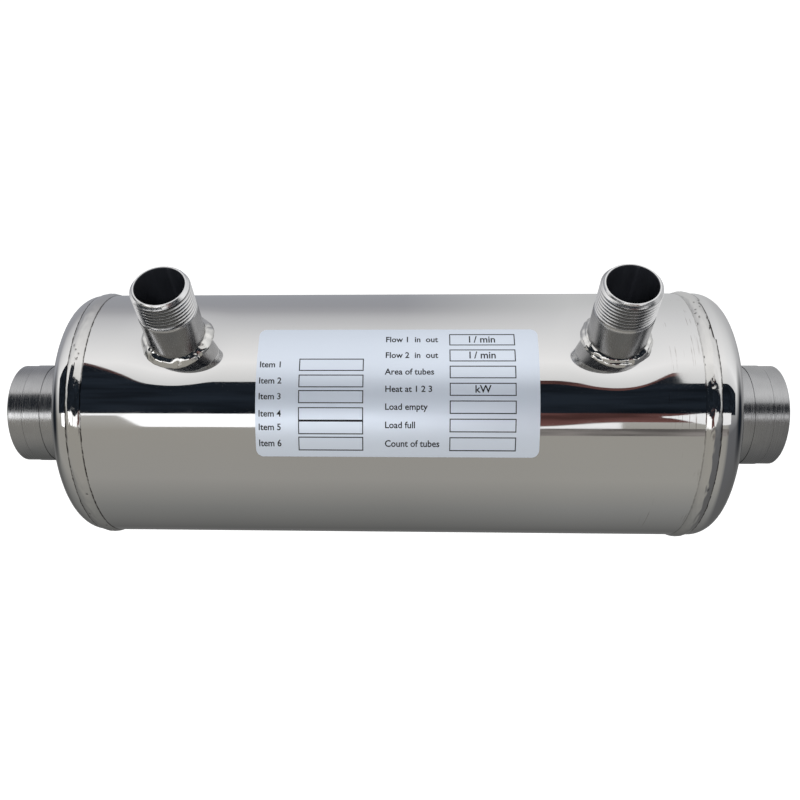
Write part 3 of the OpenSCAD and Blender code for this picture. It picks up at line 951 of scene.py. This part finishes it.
def cardPaper(name, colour, strength):
    # slow streaks along the card keep its reflection from looking cut out
    material, nodes, links, emission = glow(name, colour, strength)
    streaks = grain(nodes, links, paperSet["streaks"], 3, paperSet["stretch"])
    share = spread(nodes, links, streaks, *paperSet["range"], 0, 1)
    dim, lit = paperSet["dark"] if max(colour) < paperSet["paleFrom"] else paperSet["pale"]
    shades = (tuple(amount * c for c in colour) for amount in (dim, lit))
    links.new(mixColour(nodes, links, share, *shades), emission.inputs["Color"])
    return material


def asStage(name, bm, material):
    mesh = bpy.data.meshes.new(name)
    bm.to_mesh(mesh)
    bm.free()
    mesh.materials.append(material)
    thing = bpy.data.objects.new(name, mesh)
    bpy.context.scene.collection.objects.link(thing)
    return thing


def onlyInReflections(thing):
    thing.visible_camera = False
    thing.visible_diffuse = False
    thing.visible_shadow = False


def easeIn(share):
    share = clamp(share)
    return share * share * (3 - 2 * share)


def edgeAt(x, angle, steps):
    return angle + sum(amount * easeIn((x - first) / (last - first)) for amount, first, last in steps)


def makeTent():
    bm = bmesh.new()
    low, high = tentSet["low"], tentSet["high"]
    bmesh.ops.create_cone(bm, cap_ends=True, segments=tentSet["steps"], radius1=tentSet["radius"],
                          radius2=tentSet["radius"], depth=high - low)
    bmesh.ops.rotate(bm, verts=bm.verts[:], cent=(0, 0, 0), matrix=Matrix.Rotation(math.pi / 2, 3, "Y"))
    bmesh.ops.translate(bm, verts=bm.verts[:], vec=((low + high) / 2, 0, 0))
    onlyInReflections(asStage("reflection_tent", bm, tentCloth()))


def makeCard(name, card):
    bm = bmesh.new()
    start = towardCamera * card["radius"]
    verts, edges = line(bm, [(x, start.y, start.z) for x in card["ends"]])
    bmesh.ops.subdivide_edges(bm, edges=edges, cuts=paperSet["cuts"])
    # spun through one radian, so that a point's angle is its share of the way between the two edges
    bmesh.ops.spin(bm, geom=everything(bm), cent=(0, 0, 0), axis=(1, 0, 0), angle=-1, steps=paperSet["steps"])
    for v in bm.verts:
        share = math.atan2(v.co.dot(upInPicture), v.co.dot(towardCamera))
        low = edgeAt(v.co.x, card["low"], card.get("lowSteps", ()))
        high = edgeAt(v.co.x, card["high"], card.get("highSteps", ()))
        angle = math.radians(low + share * (high - low))
        outward = towardCamera * math.cos(angle) + upInPicture * math.sin(angle)
        v.co = Vector((v.co.x, 0, 0)) + outward * card["radius"]
    onlyInReflections(asStage(name, bm, cardPaper(name, card["colour"], card["strength"])))


# Pale floor and soft light in a white room
floorSet = {"size": 8, "drop": -0.75, "colour": (0.9, 0.9, 0.9), "rough": 0.9, "lift": 0.45}
lightSet = {"distance": 2.6, "size": 1.4, "energy": 42, "room": 0.55}


def whereSeen(nodes, links):
    # 1 for rays from the camera, mirrors and glass
    path = nodes.new("ShaderNodeLightPath")
    total = path.outputs["Is Camera Ray"]
    for ray in ("Is Glossy Ray", "Is Transmission Ray"):
        add = nodes.new("ShaderNodeMath")
        add.operation = "MAXIMUM"
        links.new(total, add.inputs[0])
        links.new(path.outputs[ray], add.inputs[1])
        total = add.outputs["Value"]
    return total


def makeFloor():
    bm = bmesh.new()
    bmesh.ops.create_grid(bm, x_segments=1, y_segments=1, size=floorSet["size"])
    bmesh.ops.translate(bm, verts=bm.verts[:], vec=(overallLength / 2, 0, floorSet["drop"]))
    material, nodes, links, shader = newMaterial("pale floor", floorSet["colour"], 0, floorSet["rough"])
    shader.inputs["Emission Color"].default_value = (*white, 1)
    seen = whereSeen(nodes, links)
    links.new(spread(nodes, links, seen, 0, 1, 0, floorSet["lift"]), shader.inputs["Emission Strength"])
    asStage("pale_floor", bm, material)


def makeLight():
    world = bpy.data.worlds.new("white room")
    bpy.context.scene.world = world
    world.use_nodes = True
    nodes, links = world.node_tree.nodes, world.node_tree.links
    background = nodes["Background"]
    background.inputs["Color"].default_value = (*white, 1)
    seen = whereSeen(nodes, links)
    links.new(spread(nodes, links, seen, 0, 1, lightSet["room"], 1), background.inputs["Strength"])
    data = bpy.data.lights.new("soft box", "AREA")
    data.size = lightSet["size"]
    data.energy = lightSet["energy"]
    lamp = bpy.data.objects.new("soft box", data)
    centre = Vector((overallLength / 2, 0, 0))
    lamp.location = centre + towardCamera * lightSet["distance"]
    lamp.rotation_mode = "QUATERNION"
    lamp.rotation_quaternion = (-towardCamera).to_track_quat("-Z", "Y")
    lamp.visible_glossy = False
    bpy.context.scene.collection.objects.link(lamp)


makeCamera()
makeTent()
for name, card in cards.items():
    makeCard(name, card)
makeFloor()
makeLight()
bpy.context.scene.view_settings.view_transform = "Standard"
print("stage ready")
